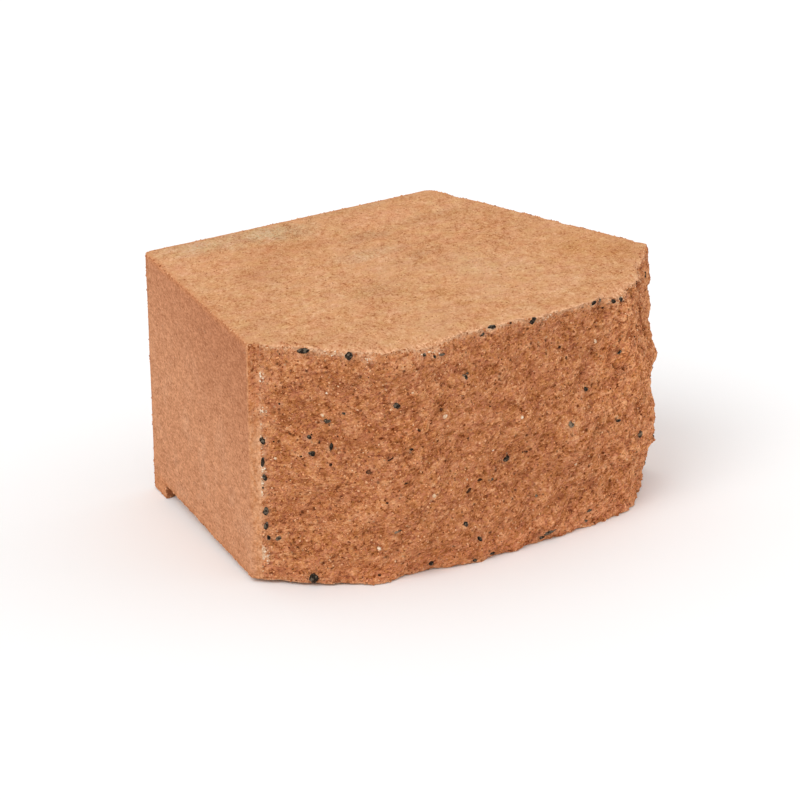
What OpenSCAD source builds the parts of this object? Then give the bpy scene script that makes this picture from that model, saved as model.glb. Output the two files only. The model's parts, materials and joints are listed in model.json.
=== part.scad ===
// Retaining wall block with a split face in three facets and a locating lip under its back edge.
// The wall stacks on flat beds: each lip hooks behind the course below and sets the course back.
// The block is drawn level, X across the face, Y from the face to the back, Z up from the bed.
// It is then laid as it rests on a floor, leaning forward on the lip and on the foot of its face.

/* [Block] */
// Height of one course, from the bed to the top
course_h = 152; // [120:1:200]
// Depth from the middle facet of the face to the back
depth = 247; // [210:1:300]
// Width at the back
back_w = 228; // [180:1:260]
// Width at the shoulders, its widest line
shoulder_w = 308; // [290:1:340]
// Distance of the shoulders behind the middle facet
shoulder_y = 66; // [55:1:80]
// Radius of the two back corners, in plan
corner_r = 5; // [1:0.5:10]

/* [Split face] */
// Width of the middle facet
facet_w = 175; // [140:1:210]
// Depth of the moulded groove that starts the split, across the block
groove_in = 5; // [3:0.5:8]
// Length of the groove's rear flank, along the side
groove_len = 8; // [5:0.5:12]
// How far the two vertical arrises of the face are rounded over
facet_round = 12; // [4:1:24]
// Strength of the swells, hollows and ridges of the split, 1 as broken
relief = 1; // [0.5:0.1:1.2]
// Size of the small planes that the split is made of
cell = 8; // [7:0.5:12]

/* [Lip] */
// Height of the lip below the bed, which sets how far the wall leans back
lip_h = 10; // [6:0.5:16]
// Thickness of the lip from front to back
lip_t = 25.5; // [18:0.5:36]

/* [Hidden] */

stone = "#c98f63";
margin = 12;                      // how far the waste reaches past the block on every side
hold_reach = 9;                   // how far from a groove the split's relief is still held back
foot_step = 2;                    // spacing of the samples that find the foot of the face
reach_step = 4;                   // spacing of the samples that find its foremost point
corner_steps = 6;                 // flats round a back corner
groove_x = shoulder_w / 2 - groove_in;
groove_y = shoulder_y - groove_len;
facet_run = groove_x - facet_w / 2;            // width of a side facet, across the block
bevel = groove_y / facet_run;                  // slope of a side facet in plan
facet_lift = norm([facet_run, facet_round]) - facet_run;
side_a = atan2(depth - shoulder_y, (back_w - shoulder_w) / 2);   // direction of the right side

// Swells (+) and hollows (-) of the split: across, height as a share of the course,
// reach across, reach in height, and how far the stone stands out
swells = [
    [-108, 0.93, 20, 26, 6],
    [-66, 0.95, 13, 14, 4],
    [-70, 0, 22, 11, -12.5],
    [25, 0, 55, 14, -4.5],
    [118, 0.52, 24, 34, 10.5],
    [128, 0.32, 18, 22, 8],
    [130, 0.63, 9, 7, 4.5],
    [112, 0.03, 18, 22, 3],
    [72, 1, 14, 12, -3],
    [143, 0.97, 8, 7, -4],
    [-122, 0.1, 22, 20, 2.5],
    [-18, 0.6, 26, 14, 3],
    [44, 0.42, 20, 26, 3],
    [8, 0.3, 24, 12, -3],
    [-48, 0.45, 20, 14, -3],
    [62, 0.78, 18, 14, -2.5],
    [-8, 0, 16, 10, 2.5],
];

// Ridges of the split, as waves: length, direction in degrees, phase, height
ridges = [
    [74, 62, 40, 1.4],
    [47, 118, 200, 1.1],
    [31, 20, 75, 0.8],
    [23, 96, 310, 0.7],
    [17, 140, 15, 0.6],
];

// The split's plan line: a flat middle facet and two side facets, rounded where they meet, which
// end in the grooves
function plan_y(x) = let (t = abs(x) - facet_w / 2)
    bevel * (t + norm([t, facet_round]) - facet_lift) / 2;

// How far the broken stone stands out of the plan line at (x, z)
function bulge(x, z) = relief * hold(x) * (
    sum([for (s = swells) s[4] * exp(-pow((x - s[0]) / s[2], 2) - pow((z - s[1] * course_h) / s[3], 2))])
    + sum([for (r = ridges) r[3] * sin(360 * (x * cos(r[1]) + z * sin(r[1])) / r[0] + r[2])]));

// The split starts at the bottom of the two grooves, so its relief dies out there
function hold(x) = 1 - exp(-pow((groove_x - abs(x)) / hold_reach, 2));
function face_y(x, z) = plan_y(x) - bulge(x, z);
function sum(v) = v * [for (i = v) 1];

// The lean at rest: the foot of the face and the front of the lip touch the floor together
foot_y = min([for (x = [-groove_x:foot_step:groove_x]) face_y(x, 0)]);
lean = atan2(lip_h, depth - lip_t - foot_y);
// Foremost and rearmost reach of the leaning block, to centre it over its origin
front_reach = min([for (x = [-groove_x:reach_step:groove_x]) for (z = [0:reach_step:course_h])
    face_y(x, z) * cos(lean) - z * sin(lean)]);
back_reach = depth * cos(lean) + lip_h * sin(lean);
at_rest = [0, -(front_reach + back_reach) / 2, -foot_y * sin(lean)];

// Half the plan at the given distance behind the face, along the tapered side
function side_x(y) = let (t = (y - shoulder_y) / (depth - shoulder_y))
    shoulder_w / 2 + t * (back_w - shoulder_w) / 2;

// The rounded right back corner, from the back to the side
function back_corner() =
    let (turn = 180 - side_a, middle = [back_w / 2 - corner_r * tan(turn / 2), depth - corner_r])
    [for (i = [0:corner_steps]) let (a = 90 - i * turn / corner_steps)
        middle + corner_r * [cos(a), sin(a)]];

// The block as it leaves the mould, still joined to its twin in front of the face
module moulded_body() {
    side = [[shoulder_w / 2, shoulder_y], [groove_x, groove_y],
            [shoulder_w / 2, groove_y - groove_len], [shoulder_w / 2, -2 * margin]];
    linear_extrude(course_h) polygon(both_sides(concat(back_corner(), side)));
}

// The lip hangs under the whole back edge and follows the tapered sides
module lip() {
    front = depth - lip_t;
    translate([0, 0, -lip_h])
        linear_extrude(lip_h) polygon(both_sides(concat(back_corner(), [[side_x(front), front]])));
}

function both_sides(half) =
    concat(half, [for (i = [len(half) - 1:-1:0]) [-half[i][0], half[i][1]]]);

// What breaks away in front: a solid whose back is the split surface, made of small planes
module waste() {
    half_x = shoulder_w / 2 + margin;
    nx = 2 * ceil(half_x / cell);
    nz = ceil((course_h + 2 * margin) / cell);
    dx = 2 * half_x / nx;
    dz = (course_h + 2 * margin) / nz;
    front = -3 * margin;
    split = [for (j = [0:nz]) for (i = [0:nx])
        let (x = i * dx - half_x, z = j * dz - margin) [x, face_y(x, z), z]];
    corners = [[-half_x, front, -margin], [half_x, front, -margin],
               [half_x, front, course_h + margin], [-half_x, front, course_h + margin]];
    n = len(split);
    row = nx + 1;
    quads = [for (j = [0:nz - 1]) for (i = [0:nx - 1]) j * row + i];
    planes = [for (q = quads) for (t = [0, 1])
        (q % 2 == 0) ? (t == 0 ? [q, q + row + 1, q + row] : [q, q + 1, q + row + 1])
                     : (t == 0 ? [q, q + 1, q + row] : [q + 1, q + row + 1, q + row])];
    bottom = concat([for (i = [nx:-1:0]) i], [n, n + 1]);
    top = concat([for (i = [0:nx]) nz * row + i], [n + 2, n + 3]);
    left = concat([for (j = [0:nz]) j * row], [n + 3, n]);
    right = concat([for (j = [nz:-1:0]) j * row + nx], [n + 1, n + 2]);
    outer = [n + 3, n + 2, n + 1, n];
    polyhedron(concat(split, corners), concat(planes, [bottom, top, left, right, outer]));
}

module block() {
    color(stone) translate(at_rest) rotate([lean, 0, 0]) difference() {
        union() {
            moulded_body();
            lip();
        }
        waste();
    }
}

block();
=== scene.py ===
import json
import math
import bmesh
import bpy
import numpy as np
from mathutils import Matrix, Vector


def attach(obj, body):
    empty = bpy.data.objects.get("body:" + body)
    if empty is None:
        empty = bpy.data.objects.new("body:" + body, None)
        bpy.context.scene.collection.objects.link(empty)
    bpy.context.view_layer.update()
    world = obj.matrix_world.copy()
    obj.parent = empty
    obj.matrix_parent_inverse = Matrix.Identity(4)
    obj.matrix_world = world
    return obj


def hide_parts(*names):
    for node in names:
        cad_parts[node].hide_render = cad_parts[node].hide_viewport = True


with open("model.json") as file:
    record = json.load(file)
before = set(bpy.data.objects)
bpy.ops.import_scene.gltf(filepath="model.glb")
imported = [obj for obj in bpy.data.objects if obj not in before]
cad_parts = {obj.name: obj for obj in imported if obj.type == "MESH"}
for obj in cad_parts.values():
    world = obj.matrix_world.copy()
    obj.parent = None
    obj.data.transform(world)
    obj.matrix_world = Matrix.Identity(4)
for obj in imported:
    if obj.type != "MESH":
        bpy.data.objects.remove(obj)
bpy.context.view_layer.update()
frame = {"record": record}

mm = 0.001

# sizes of the block, drawn level: x across the face, y from the face to the back, z up from the bed
block = {
    "courseHeight": 152 * mm,
    "depth": 247 * mm,
    "backWidth": 228 * mm,
    "shoulderWidth": 308 * mm,
    "shoulderBack": 66 * mm,
    "facetWidth": 175 * mm,
    "grooveIn": 5 * mm,
    "grooveLength": 8 * mm,
    "facetRound": 12 * mm,
    "cornerRadius": 5 * mm,
    "lipHeight": 10 * mm,
    "lipThickness": 25.5 * mm,
}
courseHeight, blockDepth, shoulderBack = (block[k] for k in ("courseHeight", "depth", "shoulderBack"))
halfWidth = block["shoulderWidth"] / 2
grooveX = halfWidth - block["grooveIn"]
grooveY = shoulderBack - block["grooveLength"]
lipFront = blockDepth - block["lipThickness"]
halfFacet = block["facetWidth"] / 2
bevelSlope = grooveY / (grooveX - halfFacet)

# swells and hollows of the split: across, share of the course height, reach across, reach up, out
swells = [
    (-108, 0.93, 20, 26, 6), (-66, 0.95, 13, 14, 4), (-70, 0, 22, 11, -12.5), (25, 0, 55, 14, -4.5),
    (118, 0.52, 24, 34, 10.5), (128, 0.32, 18, 22, 8), (130, 0.63, 9, 7, 4.5), (112, 0.03, 18, 22, 3),
    (72, 1, 14, 12, -3), (143, 0.97, 8, 7, -4), (-122, 0.1, 22, 20, 2.5), (-18, 0.6, 26, 14, 3),
    (44, 0.42, 20, 26, 3), (8, 0.3, 24, 12, -3), (-48, 0.45, 20, 14, -3), (62, 0.78, 18, 14, -2.5),
    (-8, 0, 16, 10, 2.5), (134, 0.75, 11, 10, -3.6),
]
# ridges of the split: wave length, direction in degrees, phase in degrees, height
ridges = [(74, 62, 40, 1.4), (47, 118, 200, 1.1), (31, 20, 75, 0.8), (23, 96, 310, 0.7), (17, 140, 15, 0.6)]


# the block stands on its lip and on the foot of its face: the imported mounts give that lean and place
def seatOfBlock():
    mounts = {m["name"]: m for m in frame["record"]["mounts"]}
    bed, lip = mounts["bed_face"], mounts["lip_face"]
    lean = math.atan2(bed["axis"][1], -bed["axis"][2])
    turn = Matrix.Rotation(lean, 4, "X")
    lipMiddle = Vector((0, lipFront, -block["lipHeight"] / 2))
    shift = Vector(lip["pos_m"]) - turn @ lipMiddle
    return Matrix.Translation(shift) @ turn, lean


seat, lean = seatOfBlock()
seatArray = np.array(seat)


# level points laid as the block rests
def toSeat(points):
    return points @ seatArray[:3, :3].T + seatArray[:3, 3]


# camera, given in the block's own level directions and then seated with it
viewpoint = {
    "azimuth": -35.453,
    "elevation": 21.105,
    "roll": -0.52,
    "distance": 1857.4 * mm,
    "aim": (-14.07 * mm, 105.42 * mm, 70.85 * mm),
    "lens": 131.97,
    "sensor": 36.0,
}


# moved back from the aim along its own axis, after the azimuth, the elevation and the roll
def addCamera():
    az, el, roll = (math.radians(viewpoint[k]) for k in ("azimuth", "elevation", "roll"))
    turn = (Matrix.Rotation(az, 4, "Z") @ Matrix.Rotation(math.pi / 2 - el, 4, "X")
            @ Matrix.Rotation(roll, 4, "Z"))
    aim, back = (Matrix.Translation(v) for v in (viewpoint["aim"], (0, 0, viewpoint["distance"])))
    data = bpy.data.cameras.new("camera")
    data.sensor_width, data.lens = viewpoint["sensor"], viewpoint["lens"]
    camera = bpy.data.objects.new("camera", data)
    bpy.context.collection.objects.link(camera)
    camera.matrix_world = seat @ aim @ turn @ back
    bpy.context.scene.camera = camera


addCamera()
print("camera placed, block leans", round(math.degrees(lean), 2), "degrees")


# vectors brought to length 1
def unit(vectors):
    return vectors / np.linalg.norm(vectors, axis=-1, keepdims=True)


# 0 and the sums of the first, the first two, the first three steps and so on
def runningSum(steps):
    return np.concatenate([[0], np.cumsum(steps)])


# random fields

lattice = 32   # random values repeat after this many cells, far beyond the block


# smooth field from -1 to 1: random values on a cubic lattice, blended along quintic curves
def smoothNoise(points, cell, seed):
    values = np.random.default_rng(seed).uniform(-1, 1, (lattice, lattice, lattice))
    scaled = points / cell + 0.37
    base = np.floor(scaled).astype(np.int64)
    part = scaled - base
    part = part ** 3 * (part * (part * 6 - 15) + 10)
    total = np.zeros(len(points))
    for corner in np.ndindex(2, 2, 2):
        weight = np.ones(len(points))
        for axis in range(3):
            weight *= part[:, axis] if corner[axis] else 1 - part[:, axis]
        index = (base + np.array(corner)) % lattice
        total += weight * values[tuple(index.T)]
    return total


# octaves of the smooth field, each half as wide and half as strong as the last
def fractalNoise(points, cell, octaves, seed):
    return sum(smoothNoise(points, cell / 2 ** k, seed + k) / 2 ** k for k in range(octaves))


# cells round jittered lattice points: the distance from the nearest point in cells, the vector from
# it, and its own random numbers
def stoneCells(points, cell, seed):
    rng = np.random.default_rng(seed)
    jitter = rng.uniform(0, 1, (lattice, lattice, lattice, 3))
    traits = rng.uniform(-1, 1, (lattice, lattice, lattice, 4))
    scaled = points / cell + 0.61
    base = np.floor(scaled).astype(np.int64)
    near = np.full(len(points), 9.0)
    away = np.zeros((len(points), 3))
    own = np.zeros((len(points), 4))
    for step in np.ndindex(3, 3, 3):
        home = base + np.array(step) - 1
        index = home % lattice
        gap = scaled - (home + jitter[tuple(index.T)])
        distance = np.sqrt((gap ** 2).sum(1))
        closer = distance < near
        near[closer], away[closer] = distance[closer], gap[closer]
        own[closer] = traits[tuple(index[closer].T)]
    return near, away, own


# the split

split = {
    "columns": 384,                        # across the face, a multiple of the coarsening
    "rows": 168,                           # up the face, a multiple of the coarsening
    "coarsening": 4,
    "columnsCloser": (0.8, 4 * mm),        # how much closer they lie near the ends, and over what reach
    "rowsCloser": (1.2, 5 * mm),
    "hold": 9 * mm,                        # over this the relief dies out towards the grooves
    "undulation": (26 * mm, 1.0 * mm),     # each layer of the texture: its width and its height
    "planes": (11 * mm, 0.55 * mm),
    "clods": (4.6 * mm, 0.85 * mm),
    "grains": (2.3 * mm, 0.65 * mm),
    "pits": (8.5 * mm, 2.0 * mm),
    "crevices": (9 * mm, 0.5 * mm),
    "rougherFrom": (30 * mm, 60 * mm),     # across, from where the break gets rougher, and over what reach
    "rougherBy": 1.0,
    "wear": (0.9 * mm, 0.6 * mm),          # loss along the broken arrises: its mean, and its finest part
    "wearReach": 2.6 * mm,
}
# narrow hollows and upright creases: across, up, reach across, reach up, depth
creases = [
    (119, 128, 1.5, 12, 2.2), (115, 141, 1.4, 7, 1.8), (124, 117, 1.5, 9, 1.7), (110, 131, 1.3, 6, 1.4),
    (137, 98, 1.6, 7, 1.6), (60, 68, 1.7, 1.9, 1.8), (70, 45, 1.6, 1.8, 1.6), (31.5, 26, 1.7, 1.7, 1.8),
    (88.6, 79, 1.4, 1.4, 1.4), (11.7, 92.6, 1.5, 1.5, 1.5), (73.5, 106, 1.6, 1.4, 1.6),
    (29.7, 56.5, 1.5, 1.5, 1.5), (-117, 60, 6, 3.2, 1.8), (-106, 33, 5.5, 2.6, 1.6),
    (-84, 25, 5, 2, 1.2), (-98, 100, 7, 1.6, 1.0), (143, 103, 5, 4, 2.5), (118, 94, 5, 5, 1.8),
    (114, 46, 6, 4, 1.8), (127, 9, 6, 4, 2.6), (91, 1, 13, 5, -3.4), (119, 4, 6, 3, -0.4),
    (-60, 0, 24, 5, -1.8), (-24, 88, 6, 2.2, 1.3), (18, 104, 5, 2.0, 1.2), (33, 62, 4, 2.4, 1.3),
    (-48, 70, 4, 2.0, 1.2), (134, 3, 7, 5, 2.6), (92, 84, 3.5, 2.6, 1.6), (104, 108, 3, 2.2, 1.5),
    (66, 50, 4, 2.2, 1.3), (88, 32, 4, 2, 1.2),
]
# places where the arris with the top is broken off deeper: across, half length, loss
spalls = [
    (-68, 11, 3.6), (-108, 18, 1.8), (-135, 8, 1.2), (80, 13, 3.2), (-30, 6, 1.2), (120, 13, 3.6),
    (143, 6, 1.8), (20, 5, 0.8),
]


# a bell round a centre: e to the minus sum of the squared distances, each in its reach
def bell(x, z, across, up, reachX, reachZ):
    return np.exp(-((x - across) / reachX) ** 2 - ((z - up) / reachZ) ** 2)


# plan line of the split: flat in the middle, straight side facets, rounded where they meet
def planLine(x):
    beyond = np.abs(x) - halfFacet
    last = grooveX - halfFacet
    blend = block["facetRound"]
    lift = math.sqrt(last ** 2 + blend ** 2) - last
    return bevelSlope * (beyond + np.sqrt(beyond ** 2 + blend ** 2) - lift) / 2


# how far the stone stands out of the plan line: bell-shaped swells plus straight waves,
# dying out towards the two grooves that the split starts from
def bulge(x, z):
    out = np.zeros_like(x)
    for across, share, reachX, reachZ, height in swells:
        out += height * bell(x / mm, z / mm, across, share * courseHeight / mm, reachX, reachZ)
    for length, direction, phase, height in ridges:
        a = math.radians(direction)
        along = (x * math.cos(a) + z * math.sin(a)) / mm
        out += height * np.sin(2 * math.pi * along / length + math.radians(phase))
    return out * (1 - np.exp(-((grooveX - np.abs(x)) / split["hold"]) ** 2)) * mm


# broken texture: tilted planes, clods, grains and round pits, all of them cells round scattered
# points, and level crevices where a stretched smooth field crosses zero
def brokenGrain(points):
    wide, high = ({k: split[k][i] for k in ("undulation", "planes", "clods", "grains", "pits", "crevices")}
                  for i in (0, 1))
    warp = np.stack([fractalNoise(points, wide["crevices"], 2, 70 + k) for k in range(3)], axis=1)
    bent = points + warp * 1.8 * mm
    planes = stoneCells(bent, wide["planes"], 11)
    clods = stoneCells(bent, wide["clods"], 12)
    grains = stoneCells(points + warp * 0.5 * mm, wide["grains"], 13)
    pits = stoneCells(points, wide["pits"], 14)
    height = high["undulation"] * fractalNoise(points, wide["undulation"], 3, 15)
    height += high["planes"] * ((planes[1] * planes[2][:, :3]).sum(1) * 1.6 + planes[2][:, 3] * 0.8)
    height += high["clods"] * (0.55 - clods[0]) * (1 + 0.6 * clods[2][:, 0])
    start, reach = split["rougherFrom"]
    height *= 1 + split["rougherBy"] * np.clip((points[:, 0] - start) / reach, 0, 1)
    height += high["grains"] * (0.5 - grains[0]) * (1 + 0.8 * grains[2][:, 0])
    hole = np.clip(1 - pits[0] / (0.16 + 0.08 * pits[2][:, 1]), 0, 1)
    layer = fractalNoise(bent * (0.4, 0.4, 1), wide["crevices"], 2, 16)
    crack = np.exp(-(layer / 0.09) ** 2) * np.clip(smoothNoise(points, 13 * mm, 18) * 2.5 - 0.3, 0, 1)
    height -= high["pits"] * hole * (pits[2][:, 0] > 0) + high["crevices"] * crack
    across, up = (points + warp * 0.8 * mm)[:, 0] / mm, points[:, 2] / mm
    for *place, depth in creases:
        height -= depth * mm * bell(across, up, *place)
    return height


# how much is worn off along an arris: its mean times a smooth field, plus a finer one
def loss(x, z, seed):
    mean, finest = split["wear"]
    places = np.stack([x, z, z * 0], 1)
    base = mean * (0.75 + 0.9 * smoothNoise(places, 7 * mm, seed))
    return np.clip(base + finest * smoothNoise(places, 2.6 * mm, seed + 1), 0.15 * mm, None)


fineCount = 4001   # places at which a line's length is measured


# positions from 0 to length, closer together near both ends: the spacing's inverse is 1 in the
# middle and rises by the extra share over the reach, and its sum is shared out evenly
def shareOut(length, count, extra, reach):
    fine = np.linspace(0, length, fineCount)
    density = 1 + extra * (np.exp(-fine / reach) + np.exp(-(length - fine) / reach))
    total = runningSum((density[1:] + density[:-1]) / 2)
    return np.interp(np.linspace(0, total[-1], count + 1), total, fine)


# a grid blurred over a few cells each way, as three passes of a moving mean do: each pass is the
# difference of two running sums over its width
def softened(grid, reach):
    for axis in (0, 1) * 3:
        pad = [(0, 0), (0, 0)]
        pad[axis] = (reach + 1, reach)
        total = np.cumsum(np.pad(grid, pad, "edge"), axis=axis)
        width = 2 * reach + 1
        ahead = np.take(total, np.arange(width, width + grid.shape[axis]), axis=axis)
        behind = np.take(total, np.arange(grid.shape[axis]), axis=axis)
        grid = (ahead - behind) / width
    return grid


# the split face: columns along the plan line, rows up the course, moved out by the bulge and
# along the plan's normal by the broken texture, and cut back at its arrises
def splitFace():
    fineX = np.linspace(-grooveX, grooveX, fineCount)
    run = runningSum(np.hypot(np.diff(fineX), np.diff(planLine(fineX))))
    along = shareOut(run[-1], split["columns"], *split["columnsCloser"])
    up = shareOut(courseHeight, split["rows"], *split["rowsCloser"])
    x, z = np.meshgrid(np.interp(along, run, fineX), up)
    runGrid = np.meshgrid(along, up)[0]
    shape = x.shape
    x, z, runGrid = x.ravel(), z.ravel(), runGrid.ravel()
    step = 0.5 * mm
    slope = (planLine(x + step) - planLine(x - step)) / (2 * step)
    normal = unit(np.stack([slope, -np.ones_like(x), np.zeros_like(x)], 1))
    points = np.stack([x, planLine(x) - bulge(x, z), z], 1)
    toTop = courseHeight - z
    toSide = np.minimum(runGrid, run[-1] - runGrid)
    grain = brokenGrain(points) * (1 - 0.4 * np.exp(-toSide / (3 * mm)))
    topLoss = loss(x, z * 0 + 1, 21)
    for across, halfLength, depth in spalls:
        topLoss += depth * mm * np.exp(-((x / mm - across) / halfLength) ** 4)
    reach = split["wearReach"]
    topCut = topLoss * np.exp(-toTop / (reach + 0.6 * topLoss))
    bedCut = loss(x, z * 0, 24) * np.exp(-z / reach)
    sideCut = 0.7 * loss(z + np.sign(x) * 0.4, z * 0, 27) * np.exp(-toSide / reach)
    points[:, 2] += bedCut * 0.6 - topCut
    points += normal * (grain - 0.9 * topCut - bedCut - 0.5 * sideCut)[:, None]
    arris = np.maximum(0.6 * np.exp(-np.minimum(z, toSide) / (2.2 * mm)), np.exp(-toTop / (4.5 * mm)))
    height = grain.reshape(shape)
    # the height over its softened surroundings, which the materials turn into painted highlight on the high
    # points and painted shade in the hollows
    relief = (height - softened(height, 3)) / mm + 0.4 * (height - softened(height, 9)) / mm
    return points.reshape(*shape, 3), relief, arris.reshape(shape), normal.reshape(*shape, 3)


# stone chips in the split

chips = {
    # across, up, half length, half height in mm, on the level block, and a turn in degrees if any
    "dark": [
        (-148, 90, 1.6, 2.2), (-148, 76, 1.0, 2.7), (-147, 67, 1.4, 2.4, 25), (-148, 60, 0.7, 0.8),
        (-147, 45, 1.7, 2.6), (-147, 34.5, 1.1, 2.7, -6), (-146, 27.5, 1.1, 1.5), (-130, 149, 3.6, 1.4),
        (-112, 148, 2.1, 2.2), (-72, 146, 1.0, 1.2), (-66, 144, 0.9, 1.1), (-61, 143.5, 2.0, 0.7),
        (-21, 151, 2.6, 1.2), (-27, 147, 1.4, 0.7, 30), (8, 150, 3.0, 1.3, 35), (56, 150, 1.8, 1.3),
        (76, 147, 1.4, 1.4), (81.5, 146.5, 1.6, 1.5), (-140, 115, 0.7, 0.8), (-87.8, 115, 1.9, 1.7),
        (-128.7, 94.5, 1.1, 1.4, 15), (-119.6, 88.5, 1.1, 2.1), (-128.7, 84.5, 2.3, 1.4, -20),
        (-78, 84, 1.2, 1.0), (-128.5, 4, 2.5, 3.0), (-61, 5, 1.4, 1.5), (53, 94.5, 1.4, 1.4),
        (75.5, 69, 1.8, 0.9), (81.5, 112, 2.9, 0.7, 25), (123, 38, 2.4, 1.6), (120, 20, 2.6, 1.7),
        (-43, 124, 0.9, 1.2), (-41, 126, 0.7, 0.7), (-8, 61.5, 2.0, 1.5, 20), (-44, 30, 1.8, 1.7),
        (-31.5, 17.5, 2.6, 1.0, -45), (26, 6, 4.4, 1.2, 25), (19, 3, 2.2, 0.9), (56.5, 12, 2.2, 1.1),
        (-20, 2.6, 2.2, 0.9), (-33, 2, 1.4, 0.9), (133, 140, 1.0, 1.9), (103.5, 149.5, 1.0, 1.2),
        (136, 103.5, 1.2, 1.9),
    ],
    "brown": [
        (-133, 82, 0.9, 0.6), (-124.5, 91, 0.7, 1.0), (-120.5, 77, 0.9, 0.8), (-75.5, 96.5, 0.9, 0.8),
        (-91.5, 81, 2.0, 0.7, 30), (-103, 73, 1.4, 1.1), (-29, 54.5, 1.8, 0.7), (-38.5, 49.5, 1.9, 0.8, 30),
        (-85, 65, 1.6, 0.6), (-94, 53.5, 0.8, 0.7), (6, 63.5, 1.8, 0.7, -15), (-7, 150, 1.0, 0.6),
        (-59, 107, 1.0, 1.0), (-38.5, 83, 0.8, 0.8), (-96, 5, 1.0, 0.8), (31, 126, 0.8, 0.8),
        (37, 117, 0.8, 1.0),
    ],
    "grey": [
        (-142, 28, 1.9, 1.1, 28), (-112, 110, 1.1, 0.8), (-120, 104, 1.9, 1.2), (36, 76, 1.7, 1.7),
        (102, 50.5, 2.6, 1.6), (105.5, 28, 3.2, 1.0), (56, 4, 1.4, 0.8), (-43.5, 125.5, 1.2, 1.1),
        (64, 149, 1.3, 1.0), (-88, 34, 2.0, 0.8, 20), (-20.5, 52.5, 1.2, 1.0), (14, 33, 1.0, 0.8),
    ],
    "pale": [
        (-143, 79, 1.4, 1.1), (-98, 23, 1.4, 2.0), (-65.5, 53.5, 1.9, 1.8), (-121, 123, 1.4, 1.0),
        (-80, 122, 1.2, 1.0), (-56, 102, 1.5, 2.0), (57.5, 125, 1.5, 2.3), (-2, 90, 1.6, 1.4),
        (-40.5, 124, 1.0, 1.2), (38.5, 77.5, 1.0, 1.0), (-122, 108, 1.3, 1.7), (-20, 72, 1.0, 0.9),
        (-38, 56, 0.9, 0.8), (44, 47, 1.5, 1.2),
    ],
    # crumbs of pale cement: across, up, reach across, reach up, how many
    "crumbs": [
        (-148.4, 132, 1.5, 3.8, 22), (-148.6, 109, 1.7, 2.2, 16), (-148.6, 100, 0.8, 1.8, 6),
        (-148.6, 91, 1.7, 2.4, 14), (-148.6, 83, 0.8, 2.4, 6), (-148.6, 72, 1.4, 2.2, 12),
        (-148.6, 63, 1.4, 3.2, 14), (-148.4, 56, 1.0, 2.2, 8), (-147.8, 17, 1.6, 4.4, 60),
        (-118, 149, 7, 1.4, 14), (-66, 147, 7, 1.4, 16), (-24, 150, 6, 1.2, 10), (80, 147, 8, 2.0, 22),
        (20, 149, 9, 1.2, 10), (-104, 146, 3, 1.6, 6), (56, 149, 3, 1.0, 6),
    ],
    "crumbSize": (0.3, 0.95),              # smallest and largest half size
    # the lightest tone is that of the stone's own flecks and of painted glints on its facets
    "tones": {                             # darkest and lightest tone of each kind
        "dark": ((0.013, 0.008, 0.005), (0.125, 0.098, 0.070)),
        "brown": ((0.040, 0.014, 0.006), (0.150, 0.058, 0.026)),
        "grey": ((0.046, 0.032, 0.022), (0.230, 0.172, 0.115)),
        "pale": ((0.70, 0.46, 0.28), (0.90, 0.74, 0.57)),
    },
    "standOut": 0.42,                      # share of its size that a chip shows above the split
    "beforeCuts": 1.32,                    # a stone's size before its flats are cut, times the size listed
}


# pale cement round the chips, mostly on their left and lower side, and round the crumbs: bells
def chipHalo(points):
    x, z = points[..., 0] / mm, points[..., 2] / mm
    total = np.zeros_like(x)
    for across, up, wide, high, *turn in chips["dark"] + chips["grey"]:
        total += 0.6 * bell(x, z, across - 0.4 * wide, up - 0.3 * high, wide + 0.5, high + 0.5)
    for across, up, reachX, reachZ, count in chips["crumbs"]:
        total += bell(x, z, across, up, reachX + 0.7, reachZ + 0.5)
    return np.clip(total, 0, 1)


# the moulded sides

mould = {
    "grooveSteps": 10,         # fine rows across the groove, as close as the split's own
    "sideSteps": 36,           # from the shoulder to the lip
    "lipSteps": 5,             # along the lip up to the round corner
    "cornerSteps": 5,          # round the back corner
    "lipRows": 4,              # up the lip
    "waviness": (22 * mm, 0.12 * mm),      # its width and its height
    "arrisLoss": 0.6 * mm,
    "nicks": (6 * mm, 2.5 * mm),           # widths of the wide and the fine nicks in the arrises
    "squareArris": 0.29,                   # how far the faces round a point disagree at a square arris
    "flatBelow": 0.05,                     # and below which they count as a flat
    "tornFrom": (84 * mm, 32 * mm),        # height from which the groove's flank is torn, over what reach
    "sharpFrom": 50,           # degrees between faces from which an arris is drawn sharp
    "weldStep": 0.002 * mm,    # the skin's points are rounded to this to weld them
}
flankOut = unit(np.array([block["grooveLength"], block["grooveIn"], 0]))


# half the width of the block at a distance behind the face, along the tapered side
def sideX(y):
    t = (y - shoulderBack) / (blockDepth - shoulderBack)
    return halfWidth + t * (block["backWidth"] - block["shoulderWidth"]) / 2


# outline of the right side behind the groove: straight to the lip, straight to the corner's
# tangent point, then an arc of the corner's radius to the back
def sidePath():
    shoulder, lipPoint, corner = (np.array([sideX(y), y]) for y in (shoulderBack, lipFront, blockDepth))
    radius = block["cornerRadius"]
    inwards = unit(shoulder - corner)
    across = np.array([-1.0, 0.0])
    half = math.acos(float(inwards @ across)) / 2
    tangent = radius / math.tan(half)
    middle = corner + unit(inwards + across) * radius / math.sin(half)
    start = corner + inwards * tangent
    ends = (math.atan2(*(point - middle)[::-1]) for point in (start, corner + across * tangent))
    turn = np.linspace(*ends, mould["cornerSteps"] + 1)
    arc = middle + radius * np.stack([np.cos(turn), np.sin(turn)], 1)
    first = np.array([0.25, 0.6])[:, None] / mould["sideSteps"]
    straight = np.concatenate([first, np.linspace(0, 1, mould["sideSteps"] + 1)[1:, None]])
    toLip = shoulder + (lipPoint - shoulder) * straight
    toCorner = lipPoint + (start - lipPoint) * np.linspace(0, 1, mould["lipSteps"] + 1)[1:, None]
    return shoulder, toLip, np.concatenate([toCorner, arc[1:]])


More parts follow.
